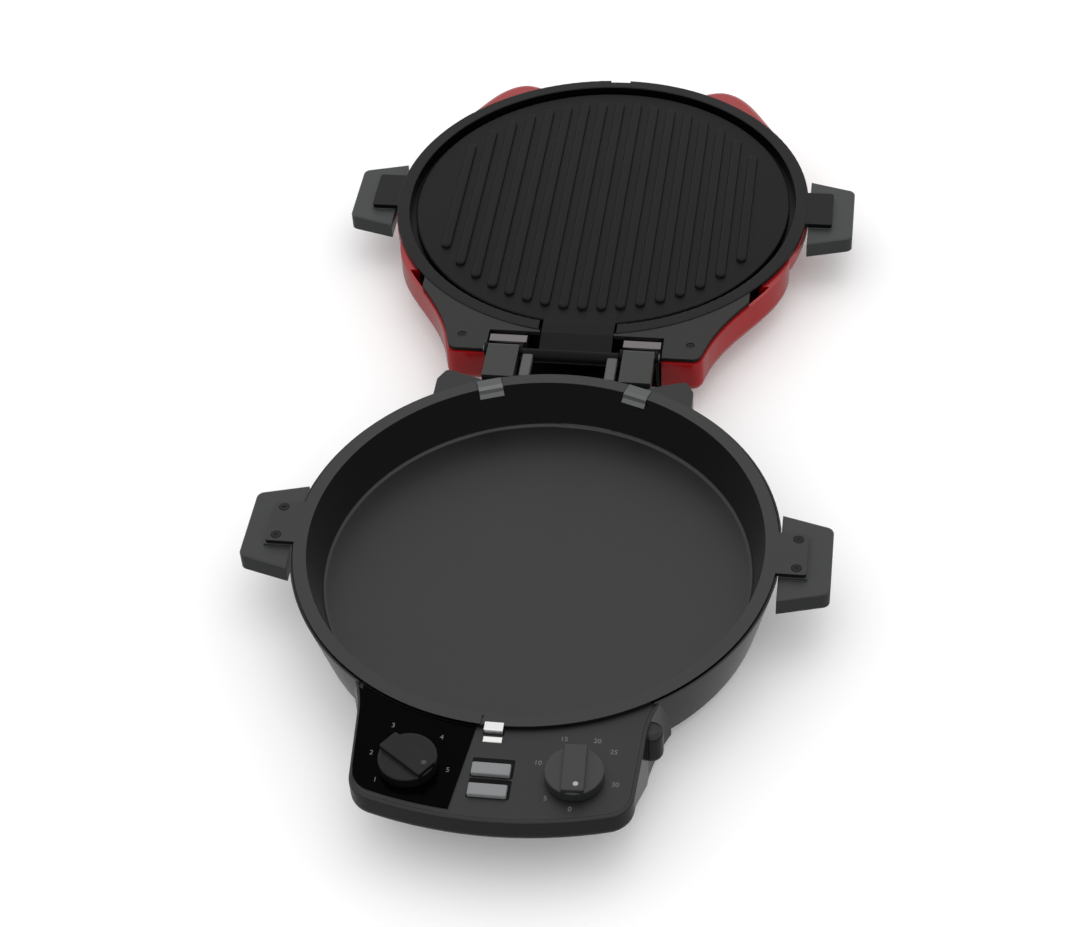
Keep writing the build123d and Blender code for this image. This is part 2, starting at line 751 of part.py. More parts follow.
def make_hinge_pin(side):
    """Steel pin through the ears of the lid frame and the post."""
    pin = rod_x(37.0, 67.0, hinge_y, hinge_z, pin_radius)
    head = rod_x(67.0, 67.8, hinge_y, hinge_z, 3.2)
    pin = pin + head
    return pin if side > 0 else mirrored(pin)


def make_hinge_screws():
    """Screws fixing the hinge brackets to the back of the housing."""
    screws = []
    spots = [(45.5, base_y + 174.5), (58.5, base_y + 174.5), (32.5, base_y + 172.1)]
    for x, y in spots:
        for s in (-1, 1):
            one = make_screw_down(0, 0, 0, 3.2, 1.6, 1.5, y - base_y - 161.0)
            screws.append(Pos(s * x, y, rim_z - 24) * Rot(-90, 0, 0) * one)
    return group(screws)


def make_wire_conduit():
    """Black tube between the knuckles that leads the wires to the lid."""
    tube = rod_x(-36.6, 36.6, hinge_y - 3.2, hinge_z - 1.2, 5.2)
    return tube - rod_x(-33.0, 33.0, hinge_y - 3.2, hinge_z - 1.2, 3.6)


def make_pan_clip(side):
    """Rear spring clip lying in the notch of the pan flange and down its inner wall."""
    points = [
        (169.8, rim_z + 0.3),
        (162.6, rim_z + 0.3),
        (159.6, rim_z - 0.9),
        (158.5, rim_z - 3.6),
        (155.6, rim_z - 5.8),
        (156.1, rim_z - 6.5),
        (159.1, rim_z - 4.4),
        (160.2, rim_z - 1.2),
        (169.8, rim_z - 1.2),
    ]
    clip = Rot(0, 0, -side * clip_angle) * prism_x(points, -9.2, 9.2)
    return Pos(0, base_y, 0) * clip


def narrowed(points, inset):
    """The open outline moved inwards, towards its right-hand side when walked."""
    moved = []
    last = len(points) - 1
    for i, (x, y) in enumerate(points):
        x0, y0 = points[max(i - 1, 0)]
        x1, y1 = points[min(i + 1, last)]
        run = ((x1 - x0) ** 2 + (y1 - y0) ** 2) ** 0.5
        moved.append((x + (y1 - y0) / run * inset, y - (x1 - x0) / run * inset))
    return moved


def flank_curve():
    """Right flank of the hinge end of the lid shell, from the round body to the end wall."""
    return [
        (158.5, lid_y - 63),
        (149.0, lid_y - 95),
        (135.5, lid_y - 117),
        (121.5, lid_y - 138),
        (110.5, lid_y - 158),
        (103.5, lid_y - 176),
    ]


def end_plan(inset):
    """Plan of the hinge end of the lid shell."""
    right = narrowed(flank_curve(), inset)
    left = [(-x, y) for x, y in reversed(right)]
    end_y = hinge_front_y + inset
    end_x = 98.5 - inset
    right_edge = Spline(*right)
    right_leg = Line(right[-1], (end_x, end_y))
    front = Line((end_x, end_y), (-end_x, end_y))
    left_leg = Line((-end_x, end_y), left[0])
    left_edge = Spline(*left)
    back = Line(left[-1], right[0])
    face = make_face([right_edge, right_leg, front, left_leg, left_edge, back])
    corners = [v for v in face.vertices() if abs(v.Y - end_y) < 0.1]
    return fillet(corners, max(9 - inset, 2))


def lobe_curve():
    """Right lobe at the front end of the lid shell, from the middle outwards."""
    return [
        (53.0, lid_y + 158.7),
        (65.0, lid_y + 163.1),
        (76.0, lid_y + 168.0),
        (86.5, lid_y + 170.0),
        (97.6, lid_y + 166.5),
        (108.1, lid_y + 157.9),
        (117.3, lid_y + 145.7),
        (126.7, lid_y + 129.9),
        (137.7, lid_y + 111.0),
        (148.6, lid_y + 88.3),
        (156.5, lid_y + 62.0),
    ]


def lobe_end_plan(inset):
    """Plan of the lobed front end of the lid shell."""
    right = narrowed(lobe_curve(), inset)
    left = [(-x, y) for x, y in reversed(right)]
    right_edge = Spline(*right)
    back = Line(right[-1], left[0])
    left_edge = Spline(*left)
    front = Line(left[-1], right[0])
    return make_face([right_edge, back, left_edge, front])


def shell_round(inset):
    """Round body of the lid shell, narrowed by an inset."""
    r = shell_radius - inset
    z_end = 10.0 + inset
    top = shell_top_z + (0.01 if inset else 0.0)
    profile = [
        (0, top),
        (r, top),
        (r, 37.0),
        (r - 1.2, 33.5 + inset * 0.3),
        (r - 4.5, 30.0 + inset * 0.6),
        (r - 11.0, 26.5 + inset),
        (r - 70.0, 11.5 + inset),
        (r - 90.0, z_end),
        (0, z_end),
    ]
    return turned(profile, lid_y)


def make_lid_shell():
    """Glossy red outer shell of the lid."""
    end_low = 17.0
    hinge_end = extrude(Pos(0, 0, end_low) * end_plan(0), shell_top_z - end_low)
    lows = [e for e in hinge_end.edges().group_by(Axis.Z)[0] if e.center().Y < lid_y - 80]
    hinge_end = fillet(lows, 11)
    hinge_in = extrude(Pos(0, 0, end_low + 9) * end_plan(shell_wall + 0.3), shell_top_z - end_low)
    hinge_in_low = extrude(Pos(0, 0, end_low + shell_wall) * end_plan(11), 12)
    hinge_in = (hinge_in + hinge_in_low) & box(-200, 200, hinge_y, lid_y - 98, 0, 100)
    front_low = 26.0
    front_end = extrude(Pos(0, 0, front_low) * lobe_end_plan(0), shell_top_z - 2.6 - front_low)
    tops = [e for e in front_end.edges().group_by(Axis.Z)[-1] if abs(e.center().X) > 50]
    front_end = fillet(tops, 6.0)
    lows = [e for e in front_end.edges().group_by(Axis.Z)[0] if abs(e.center().X) > 50]
    front_end = fillet(lows, 6.0)
    front_in = extrude(Pos(0, 0, front_low + 6.0) * lobe_end_plan(4.5), shell_top_z - 8.4 - front_low - 6.0)
    body = shell_round(0) + hinge_end + front_end
    body = body - shell_round(shell_wall) - hinge_in - front_in
    # Opening in the end wall for the hinge frame
    body = body - box(-opening_half, opening_half, hinge_y, frame_wall_y + 1.7, opening_z, shell_top_z + 5)
    return largest(body)


def make_lid_ring():
    """Dark frame round the upper plate with its two side tabs."""
    low = ring_z - 11.0
    profile = [
        (ring_inner, ring_z),
        (rim_radius, ring_z),
        (rim_radius, ring_z - ring_thick),
        (ring_inner + 2.5, ring_z - ring_thick),
        (ring_inner + 2.5, low - 1.5),
        (plate_radius - 1.5, low - 1.5),
        (plate_radius - 1.5, low),
        (ring_inner, low),
    ]
    ring = turned(profile, lid_y)
    edges = [e for e in ring.edges().group_by(Axis.Z)[-1]]
    ring = fillet(edges, 0.8)
    for s in (-1, 1):
        x0, x1 = sorted((s * 164.0, s * tab_end))
        tab = box(x0, x1, lid_y - tab_half - 1.0, lid_y + tab_half + 1.0, ring_z - ring_thick, ring_z - 0.2)
        tab = fillet([e for e in tab.edges().filter_by(Axis.Z) if abs(e.center().X) > 180], 2.5)
        ring = ring + tab
        for y in (-screw_y, screw_y):
            ring = ring - disc(s * screw_x, lid_y + y, ring_z - 5, ring_z - 1.6, 1.5)
    ring = ring - box(-30.5, 30.5, lid_y - 175, lid_y - 150, ring_z - 20, ring_z + 1)
    ring = ring - box(-11.5, 5.5, lid_y + 165, lid_y + 172, ring_z - 2.2, ring_z + 1)
    return largest(ring)


def make_grill_plate():
    """Ribbed upper plate with a spout towards the hinge."""
    top = ring_z - plate_recess
    plate = disc(0, lid_y, top - plate_thick, top, plate_radius)
    seat = ring_z - 11.0
    skirt = disc(0, lid_y, seat, top - 0.5, plate_radius) - disc(0, lid_y, seat - 1, top, plate_radius - 2.5)
    plate = plate + skirt
    plate = fillet([e for e in plate.edges().filter_by(GeomType.CIRCLE) if abs(e.center().Z - top) < 0.01], 1.5)
    spout = prism_x(
        [
            (lid_y - 140, top - plate_thick),
            (lid_y - 140, top),
            (lid_y - 156, top + 0.6),
            (lid_y - 167.5, top + 0.6),
            (lid_y - 187.0, top - 4.4),
            (lid_y - 187.0, top - 7.0),
            (lid_y - 167.5, top - 2.4),
            (lid_y - 156, top - 2.4),
        ],
        -28.2,
        28.2,
    )
    plate = plate + spout
    for i in range(-8, 9):
        x = i * rib_pitch
        half = (139.0**2 - x**2) ** 0.5 - rib_width / 2
        rib = Pos(x, lid_y, top - 1) * SlotCenterToCenter(2 * half, rib_width, rotation=90)
        rib = extrude(rib, rib_height + 1)
        rib = fillet(rib.edges().group_by(Axis.Z)[-1], 1.9)
        plate = plate + rib
    return largest(plate)


def make_upper_element():
    """Tubular heater behind the upper plate."""
    z = ring_z - plate_recess - plate_thick - 3.4
    return element_tube(lid_y, z, 106.0, 3.2, z - 7.5, 14.0)


def make_upper_reflector():
    """Bright dish behind the upper element."""
    z = ring_z - plate_recess - plate_thick - 8.0
    profile = [
        (12.2, z),
        (138, z),
        (144, z + 2.0),
        (157, z + 2.0),
        (157, z + 1.2),
        (144.4, z + 1.2),
        (138.4, z - 0.8),
        (12.2, z - 0.8),
    ]
    dish = turned(profile, lid_y)
    for s in (-1, 1):
        dish = dish - disc(s * 14, lid_y - 105.2, z - 3, z + 3, 4.6)
    return largest(dish)


def make_upper_thermostat():
    """Sensor capsule behind the middle of the upper plate."""
    top = ring_z - plate_recess - plate_thick
    body = disc(0, lid_y, top - 12.0, top - 0.2, 11.0)
    cover = disc(0, lid_y, top - 15.0, top - 12.0, 9.0)
    return body + cover


def make_hinge_cover(side):
    """Grey cover plate over one hinge corner of the lid."""
    z0 = shell_top_z
    z1 = cover_top_z
    plan = end_plan(2.0)
    plate = extrude(Pos(0, 0, z0) * plan, z1 - z0)
    plate = plate & box(28.9, 130, hinge_y, lid_y - 100, z0 - 1, z1 + 1)
    plate = plate - disc(0, lid_y, z0 - 1, z1 + 1, rim_radius + 0.4)
    plate = plate - box(20, opening_half, hinge_y - 5, hinge_y + 30.5, z0 - 1, z1 + 1)
    rim = extrude(Pos(0, 0, z0 - 6) * end_plan(shell_wall + 0.45), 6.2)
    rim = rim - extrude(Pos(0, 0, z0 - 7) * end_plan(shell_wall + 2.4), 9)
    rim = rim & box(70.5, 102, hinge_y, lid_y - 165, z0 - 6, z1)
    plate = plate + rim
    plate = plate - disc(89.0, hinge_y + 23.5, z0 - 1, z1 + 1, 1.7)
    plate = plate - disc(89.0, hinge_y + 23.5, z1 - 1.2, z1 + 1, 3.4)
    plate = largest(plate)
    return plate if side > 0 else mirrored(plate)


def make_cover_screws():
    """Countersunk screws of the hinge covers."""
    screws = []
    z1 = cover_top_z
    for s in (-1, 1):
        screws.append(make_screw_down(s * 89.0, hinge_y + 23.5, z1 - 1.2, 3.1, 0.9, 1.5, 9))
    return group(screws)


def make_lid_handle(side):
    """Side grip under the tab of the lid frame."""
    top = ring_z - handle_drop
    body = Pos(0, lid_y, 0) * handle_body(top)
    raised = box(handle_root + 0.2, tab_end + 1, lid_y - tab_half - 1, lid_y + tab_half + 1, top - 1, ring_z - ring_thick)
    body = body + raised
    for y in (-screw_y, screw_y):
        body = body - disc(screw_x, lid_y + y, top - 20, ring_z, 1.9)
        body = body - disc(screw_x, lid_y + y, top - 20, top - 6, 3.8)
    return body if side > 0 else mirrored(body)


def make_lid_handle_screws():
    """Four screws entering the lid tabs from the outer side."""
    screws = []
    z = ring_z - handle_drop - 6
    for s in (-1, 1):
        for y in (-screw_y, screw_y):
            one = make_screw_down(0, 0, 0, 3.4, 1.5, 1.4, 8.2)
            screws.append(Pos(s * screw_x, lid_y + y, z) * Rot(180, 0, 0) * one)
    return group(screws)


def make_lid_bumpers():
    """Two rubber bumpers that carry the open lid on the table."""
    pieces = []
    for s in (-1, 1):
        foot = disc(s * 55, lid_y + 45, 0.0, 10.0, 8.0)
        foot = chamfer(foot.edges().group_by(Axis.Z)[0], 1.0)
        pieces.append(foot)
    return group(pieces)


def build_all():
    """Builds and writes every part."""
    save(make_base_housing(), "base_housing")
    save(make_bottom_cover(), "base_bottom_cover")
    save(make_bottom_screws(), "bottom_cover_screws")
    for name, place in zip(("front_left", "front_right", "rear_left", "rear_right"), foot_places()):
        save(make_foot(*place), "foot_" + name)
    save(make_lower_pan(), "lower_pan")
    save(make_base_handle(-1), "base_handle_left")
    save(make_base_handle(1), "base_handle_right")
    save(make_base_handle_screws(), "base_handle_screws")
    save(make_lower_reflector(), "lower_reflector")
    save(make_lower_element(), "lower_element")
    save(make_lower_saddles(), "lower_element_saddles")
    save(make_lower_thermostat(), "lower_thermostat_sensor")
    save(make_thermal_fuse(), "thermal_fuse")
    save(make_terminal_block(), "terminal_block")
    save(make_cord_gland(), "cord_gland")
    save(make_control_fascia(), "control_fascia")
    save(make_gloss_insert(), "gloss_insert")
    save(make_knob(-knob_x, panel_z + gloss_thick + 0.4, 54), "knob_left")
    save(make_knob(knob_x, panel_z + 0.4, 3), "knob_right")
    save(make_shaft(-knob_x, panel_z - 15, panel_z + gloss_thick + knob_bore + 0.3), "spindle_left")
    save(make_shaft(knob_x, panel_z - 15, panel_z + knob_bore + 0.3), "spindle_right")
    save(make_thermostat(), "thermostat_body")
    save(make_timer(), "timer_body")
    save(make_button(button_rows()[0]), "button_rear")
    save(make_button(button_rows()[1]), "button_front")
    save(make_switch_block(), "switch_block")
    save(make_pilot_lens(), "pilot_lens")
    save(make_pilot_lamp(), "pilot_lamp")
    save(make_pan_latch(), "pan_latch")
    save(make_latch_spring(), "latch_spring")
    save(make_pan_clip(-1), "pan_clip_left")
    save(make_pan_clip(1), "pan_clip_right")
    save(make_hinge_post(-1), "hinge_post_left")
    save(make_hinge_post(1), "hinge_post_right")
    save(make_hinge_knuckle(-1), "hinge_knuckle_left")
    save(make_hinge_knuckle(1), "hinge_knuckle_right")
    save(make_hinge_pin(-1), "hinge_pin_left")
    save(make_hinge_pin(1), "hinge_pin_right")
    save(make_hinge_screws(), "hinge_screws")
    save(make_wire_conduit(), "wire_conduit")
    save(make_hinge_frame(), "lid_hinge_frame")
    save(make_hinge_strap(-1), "hinge_strap_left")
    save(make_hinge_strap(1), "hinge_strap_right")
    save(make_lid_shell(), "lid_shell")
    save(make_lid_ring(), "lid_ring")
    save(make_grill_plate(), "grill_plate")
    save(make_upper_element(), "upper_element")
    save(make_upper_reflector(), "upper_reflector")
    save(make_upper_thermostat(), "upper_thermostat_sensor")
    save(make_hinge_cover(-1), "hinge_cover_left")
    save(make_hinge_cover(1), "hinge_cover_right")
    save(make_cover_screws(), "hinge_cover_screws")
    save(make_lid_handle(-1), "lid_handle_left")
    save(make_lid_handle(1), "lid_handle_right")
    save(make_lid_handle_screws(), "lid_handle_screws")
    save(make_lid_bumpers(), "lid_bumpers")


build_all()
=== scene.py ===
import bmesh
import bpy
import json
import math
from mathutils import Matrix, Vector


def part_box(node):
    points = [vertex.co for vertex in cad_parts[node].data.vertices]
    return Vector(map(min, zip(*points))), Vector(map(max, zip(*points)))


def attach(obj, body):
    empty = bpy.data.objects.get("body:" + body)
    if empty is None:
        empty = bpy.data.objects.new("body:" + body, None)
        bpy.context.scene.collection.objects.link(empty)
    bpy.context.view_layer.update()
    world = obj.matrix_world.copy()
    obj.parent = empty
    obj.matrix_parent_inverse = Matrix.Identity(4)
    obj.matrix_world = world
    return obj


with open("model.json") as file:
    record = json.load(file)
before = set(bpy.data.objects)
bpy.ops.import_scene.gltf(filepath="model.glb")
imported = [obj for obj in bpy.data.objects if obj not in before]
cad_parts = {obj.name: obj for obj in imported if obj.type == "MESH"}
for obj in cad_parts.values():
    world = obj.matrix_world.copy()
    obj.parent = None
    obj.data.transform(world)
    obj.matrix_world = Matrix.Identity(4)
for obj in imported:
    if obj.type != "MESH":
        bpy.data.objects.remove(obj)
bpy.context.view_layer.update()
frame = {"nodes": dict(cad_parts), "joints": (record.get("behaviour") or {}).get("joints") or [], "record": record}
nodes = frame["nodes"]
scene = bpy.context.scene
MM = 0.001

# Main places, read from the frame
BASE_Y = (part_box("base_bottom_cover")[0].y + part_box("base_bottom_cover")[1].y) / 2
RIM_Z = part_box("lower_pan")[1].z
PANEL_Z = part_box("control_fascia")[1].z
GLOSS_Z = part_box("gloss_insert")[1].z
PLACES = {joint["name"]: Vector(joint["pos_m"]) for joint in frame["joints"] if "pos_m" in joint}
LEFT_DIAL = PLACES["thermostat_knob_turn"]
RIGHT_DIAL = PLACES["timer_knob_turn"]

# Camera, found from the pan rim, the lid ring and the handles, in degrees and metres
CAM_AZIMUTH = 10.545
CAM_ELEVATION = 44.093
CAM_ROLL = -3.943
CAM_DISTANCE = 1.64335
CAM_TARGET = Vector((-6.444 * MM, BASE_Y + 73.334 * MM, RIM_Z))
CAM_NEAR = 0.05
CAM_FAR = 50
PHOTO_WIDTH = 1080
FOCAL_PIXELS = 2273.2
SENSOR = 36.0

# Printed marks: text, turn clockwise from the rear in degrees, distance from the dial's centre in mm
TIMER_MARKS = (("0", 180, 25.0), ("5", 222, 24.5), ("10", 291, 26.5), ("15", 341, 32.0), ("20", 20, 32.6),
               ("25", 45, 32.0), ("30", 97, 26.5))
HEAT_MARKS = (("1", 233, 24.0), ("2", 285, 26.5), ("3", 333, 34.0), ("4", 37, 29.5), ("5", 95, 26.0))
MARK_HEIGHT = 3.6 * MM
MARK_THICK = 0.05 * MM
FIGURE_SHARE = 0.7  # height of a figure as a share of the font's size

# Painted shade: thin dark sheets round the push buttons that stand in for the shadow in the gaps round them, and
# how far they reach past the buttons
BUTTON_SHADE_LEFT = 0.5 * MM
BUTTON_SHADE_RIGHT = 1.8 * MM
BUTTON_SHADE_FRONT = 0.45 * MM
BUTTON_SHADE_REAR = 5.4 * MM
BUTTON_SHADE_GAP = 0.25 * MM
BUTTON_SHADE_OUTER_CORNER = 1.0 * MM
BUTTON_SHADE_INNER_CORNER = 0.9 * MM
BUTTON_SHADE_THICK = 0.15 * MM
CORNER_STEPS = 5

# Paint dots of the knobs: the dimple's middle from the knob's centre in mm, and the knobs' turns in degrees
POINTER_X = 2.0
POINTER_Y = -13.4
LEFT_TURN = 54
RIGHT_TURN = 3
DIMPLE_DEPTH = 0.3 * MM
DOT_RADIUS = 1.8 * MM
DOT_STEPS = 32
DOT_PROFILE = ((1.0, 0.0), (1.0, 0.08), (0.75, 0.16), (0.4, 0.2))  # share of the radius, height in mm

# What the finishes share
MOTTLE_SCALE = 18.0
GLOSS_SPREAD = 0.06
LEAST_ROUGH = 0.02
GRAIN_STRENGTH = 0.6
EDGE_WIDTH = 0.6 * MM
EDGE_START = 0.985  # how closely a rounded edge follows its flat face, where the wear starts and is full
EDGE_FULL = 0.75
UPRIGHT_Z = 0.2  # height part of a face's normal, up to which it counts as upright, and from which as flat
FLAT_Z = 0.8

# Nodes whose finish differs a little from the rest of their slot
OWN_FINISH = {
    "hinge_cover_left": "cover_plastic",
    "hinge_cover_right": "cover_plastic",
    "knob_left": "knob_plastic",
    "hinge_strap_left": "strap_steel",
    "hinge_strap_right": "strap_steel",
    "hinge_pin_left": "clip_steel",
    "hinge_pin_right": "clip_steel",
    "pan_clip_left": "clip_steel",
    "pan_clip_right": "clip_steel",
}

# Floor and lights, in metres and watts
FLOOR_SIZE = 30.0
FLOOR_GLOW = 0.06
SKY_STRENGTH = 1.02
GROUND_STRENGTH = 0.3
GROUND_Z = -0.25  # height part of the direction below which the surroundings are at their dimmest
KEY_PLACE = (0.3, 0.3, 2.6)
KEY_TARGET = (0, 0, 0)
KEY_SIZE = 1.6
KEY_POWER = 6


def make_camera():
    """Camera at the photograph's viewing angle."""
    azimuth = math.radians(CAM_AZIMUTH)
    elevation = math.radians(CAM_ELEVATION)
    roll = math.radians(CAM_ROLL)
    across = math.cos(elevation)
    back = Vector((math.sin(azimuth) * across, -math.cos(azimuth) * across, math.sin(elevation)))
    forward = -back
    level_right = forward.cross(Vector((0, 0, 1))).normalized()
    level_up = level_right.cross(forward)
    right = level_right * math.cos(roll) + level_up * math.sin(roll)
    up = -level_right * math.sin(roll) + level_up * math.cos(roll)
    data = bpy.data.cameras.new("camera")
    data.sensor_width = SENSOR
    data.lens = FOCAL_PIXELS / PHOTO_WIDTH * SENSOR
    data.clip_start = CAM_NEAR
    data.clip_end = CAM_FAR
    camera = bpy.data.objects.new("camera", data)
    rotation = Matrix((right, up, back)).transposed().to_4x4()
    camera.matrix_world = Matrix.Translation(CAM_TARGET + back * CAM_DISTANCE) @ rotation
    scene.collection.objects.link(camera)
    scene.camera = camera


def srgb(r, g, b):
    """Linear colour from 0..255 display values."""
    out = []
    for v in (r, g, b):
        v = v / 255
        out.append(v / 12.92 if v <= 0.04045 else ((v + 0.055) / 1.055) ** 2.4)
    return (*out, 1.0)


def new_material(name):
    """New node material, with its node tree and its principled shader."""
    mat = bpy.data.materials.new(name)
    mat.use_nodes = True
    tree = mat.node_tree
    return mat, tree, tree.nodes["Principled BSDF"]


def add(tree, kind, **values):
    """A node with its sockets, or else its settings, filled in."""
    node = tree.nodes.new(kind)
    for key, value in values.items():
        if key in node.inputs:
            node.inputs[key].default_value = value
        else:
            setattr(node, key, value)
    return node


def remap(tree, value, start, end, low, high):
    """A value stretched from start..end to low..high and held at both ends."""
    node = tree.nodes.new("ShaderNodeMapRange")
    node.inputs["From Min"].default_value = start
    node.inputs["From Max"].default_value = end
    node.inputs["To Min"].default_value = low
    node.inputs["To Max"].default_value = high
    tree.links.new(value, node.inputs["Value"])
    return node.outputs["Result"]


def edge_wear(tree, tone, shade):
    """Tone that turns to a lighter shade on rounded and rubbed edges, and the rounded normal."""
    link = tree.links.new
    soft = add(tree, "ShaderNodeBevel", samples=4, Radius=EDGE_WIDTH)
    flat = add(tree, "ShaderNodeNewGeometry")
    likeness = add(tree, "ShaderNodeVectorMath", operation="DOT_PRODUCT")
    link(soft.outputs["Normal"], likeness.inputs[0])
    link(flat.outputs["Normal"], likeness.inputs[1])
    mix = add(tree, "ShaderNodeMixRGB", blend_type="MIX")
    link(remap(tree, likeness.outputs["Value"], EDGE_START, EDGE_FULL, 0, 1), mix.inputs[0])
    link(tone, mix.inputs[1])
    mix.inputs[2].default_value = shade
    return mix.outputs[0], soft.outputs["Normal"]


def smoother_sides(tree, gloss, share):
    """Roughness that falls to a share of itself from flat faces to upright ones."""
    link = tree.links.new
    geometry = add(tree, "ShaderNodeNewGeometry")
    parts = add(tree, "ShaderNodeSeparateXYZ")
    link(geometry.outputs["True Normal"], parts.inputs[0])
    level = add(tree, "ShaderNodeMath", operation="ABSOLUTE")
    link(parts.outputs["Z"], level.inputs[0])
    product = add(tree, "ShaderNodeMath", operation="MULTIPLY")
    link(gloss, product.inputs[0])
    link(remap(tree, level.outputs[0], UPRIGHT_Z, FLAT_Z, share, 1), product.inputs[1])
    return product.outputs[0]


def surface(name, colour, rough, grain, depth, mottling=0.12, stretch=(1, 1, 1), metallic=0.0,
            specular=0.5, coat=0.0, coat_rough=0.1, wear=None, side_rough=None):
    """Finish with slow mottling of its tone, a fine grain in its relief and a patchy gloss."""
    mat, tree, shader = new_material(name)
    link = tree.links.new
    place = add(tree, "ShaderNodeTexCoord")
    scale = add(tree, "ShaderNodeMapping", Scale=stretch)
    link(place.outputs["Object"], scale.inputs["Vector"])

    slow = add(tree, "ShaderNodeTexNoise", Scale=MOTTLE_SCALE, Detail=4.0, Roughness=0.6)
    link(scale.outputs["Vector"], slow.inputs["Vector"])
    tone = add(tree, "ShaderNodeMixRGB", blend_type="MIX")
    tone.inputs[1].default_value = [c * (1 - mottling) for c in colour[:3]] + [1]
    tone.inputs[2].default_value = [min(c * (1 + mottling), 1) for c in colour[:3]] + [1]
    link(slow.outputs["Fac"], tone.inputs[0])
    base = tone.outputs[0]

    smoothest = max(rough - GLOSS_SPREAD, LEAST_ROUGH)
    roughest = min(rough + GLOSS_SPREAD, 1)
    gloss = remap(tree, slow.outputs["Fac"], 0, 1, smoothest, roughest)
    if side_rough:
        gloss = smoother_sides(tree, gloss, side_rough / rough)
    link(gloss, shader.inputs["Roughness"])

    speck = add(tree, "ShaderNodeTexNoise", Scale=grain, Detail=3.0, Roughness=0.55)
    link(scale.outputs["Vector"], speck.inputs["Vector"])
    bump = add(tree, "ShaderNodeBump", Strength=GRAIN_STRENGTH, Distance=depth)
    link(speck.outputs["Fac"], bump.inputs["Height"])
    if wear:
        base, soft_normal = edge_wear(tree, base, wear)
        link(soft_normal, bump.inputs["Normal"])
    link(base, shader.inputs["Base Color"])
    link(bump.outputs["Normal"], shader.inputs["Normal"])

    shader.inputs["Metallic"].default_value = metallic
    shader.inputs["Specular IOR Level"].default_value = specular
    shader.inputs["Coat Weight"].default_value = coat
    shader.inputs["Coat Roughness"].default_value = coat_rough
    return mat


def make_materials():
    """Every finish by name: one for each record slot, the own finishes of single nodes, and the prints."""
    made = {}
    rubbed = srgb(26, 26, 27)
    brushed = (0.15, 1, 1)

    def finish(name, *values, **options):
        made[name] = surface(name, *values, **options)

    # Each line: name, colour, roughness, grains in a metre, depth of the grain, and what else it has

    # Moulded plastics
    finish("housing_plastic", srgb(10, 10, 11), 0.42, 1400, 0.05 * MM, side_rough=0.15, specular=0.45,
           wear=rubbed)
    finish("panel_plastic", srgb(13, 14, 14), 0.45, 1800, 0.06 * MM, specular=0.47, wear=rubbed)
    finish("cover_plastic", srgb(14, 16, 13), 0.45, 1800, 0.06 * MM, specular=0.38, wear=rubbed)
    finish("gloss_black", srgb(2, 2, 3), 0.18, 500, 0.01 * MM, specular=0.02)
    finish("handle_plastic", srgb(34, 35, 35), 0.45, 1600, 0.07 * MM, side_rough=0.15, wear=srgb(48, 49, 50))
    finish("knob_plastic", srgb(9, 9, 10), 0.4, 1600, 0.04 * MM, specular=0.26, wear=srgb(45, 45, 46))
    finish("grip_plastic", srgb(44, 46, 46), 0.5, 1600, 0.07 * MM, side_rough=0.2, wear=srgb(58, 60, 60))
    finish("ring_plastic", srgb(6, 6, 7), 0.42, 1500, 0.05 * MM, specular=0.2, side_rough=0.2, wear=rubbed)
    finish("button_plastic", srgb(122, 123, 124), 0.45, 1600, 0.04 * MM, wear=srgb(150, 151, 152))
    finish("lens_plastic", srgb(235, 235, 232), 0.2, 500, 0.01 * MM, coat=0.5)
    finish("inner_plastic", srgb(188, 180, 160), 0.5, 1200, 0.05 * MM)
    finish("rubber_black", srgb(18, 18, 18), 0.75, 1300, 0.08 * MM)
    finish("red_shell", srgb(148, 3, 9), 0.22, 260, 0.02 * MM, mottling=0.06, specular=0.3, coat=0.5,
           coat_rough=0.12, wear=srgb(175, 25, 30))

    # Non-stick coatings
    finish("pan_coating", srgb(6, 6, 6), 0.42, 2600, 0.04 * MM, specular=0.57, side_rough=0.1, wear=rubbed)
    finish("plate_coating", srgb(8, 8, 8), 0.45, 2600, 0.04 * MM, specular=0.14, wear=srgb(22, 22, 23))

    # Metals, painted and bare
    finish("hinge_metal", srgb(34, 37, 34), 0.42, 1500, 0.06 * MM, specular=0.45, wear=srgb(60, 64, 60))
    finish("bracket_steel", srgb(70, 71, 70), 0.45, 1500, 0.05 * MM, wear=srgb(100, 102, 100))
    # frame_black is the black paint of the hinge frame, and also the colour of the painted-shade sheets round the
    # push buttons
    finish("frame_black", srgb(4, 4, 5), 0.6, 1500, 0.05 * MM, specular=0.12)
    finish("screw_steel", srgb(20, 20, 21), 0.4, 900, 0.04 * MM, metallic=0.6, wear=srgb(70, 70, 72))
    finish("bright_steel", srgb(225, 225, 225), 0.3, 900, 0.03 * MM, stretch=brushed, metallic=1.0)
    finish("strap_steel", srgb(118, 113, 114), 0.35, 900, 0.03 * MM, stretch=brushed, metallic=1.0)
    finish("clip_steel", srgb(96, 97, 97), 0.35, 900, 0.03 * MM, stretch=brushed, metallic=1.0)
    finish("dull_steel", srgb(110, 111, 113), 0.45, 900, 0.04 * MM, stretch=brushed, metallic=1.0)
    finish("reflector_metal", srgb(205, 205, 205), 0.3, 700, 0.03 * MM, metallic=1.0)

    # Prints and paint
    finish("mark_grey", srgb(100, 101, 102), 0.5, 1500, 0.01 * MM)
    finish("mark_faint", srgb(48, 49, 50), 0.5, 1500, 0.01 * MM)
    finish("mark_white", srgb(165, 165, 165), 0.45, 1500, 0.01 * MM)
    return made


def dress_nodes(materials):
    """Gives every frame node its own finish or that of its slot."""
    for row in frame["record"]["subparts"]:
        node = nodes[row["node"]]
        node.data.materials.clear()
        node.data.materials.append(materials[OWN_FINISH.get(row["node"], row["material_slot"])])


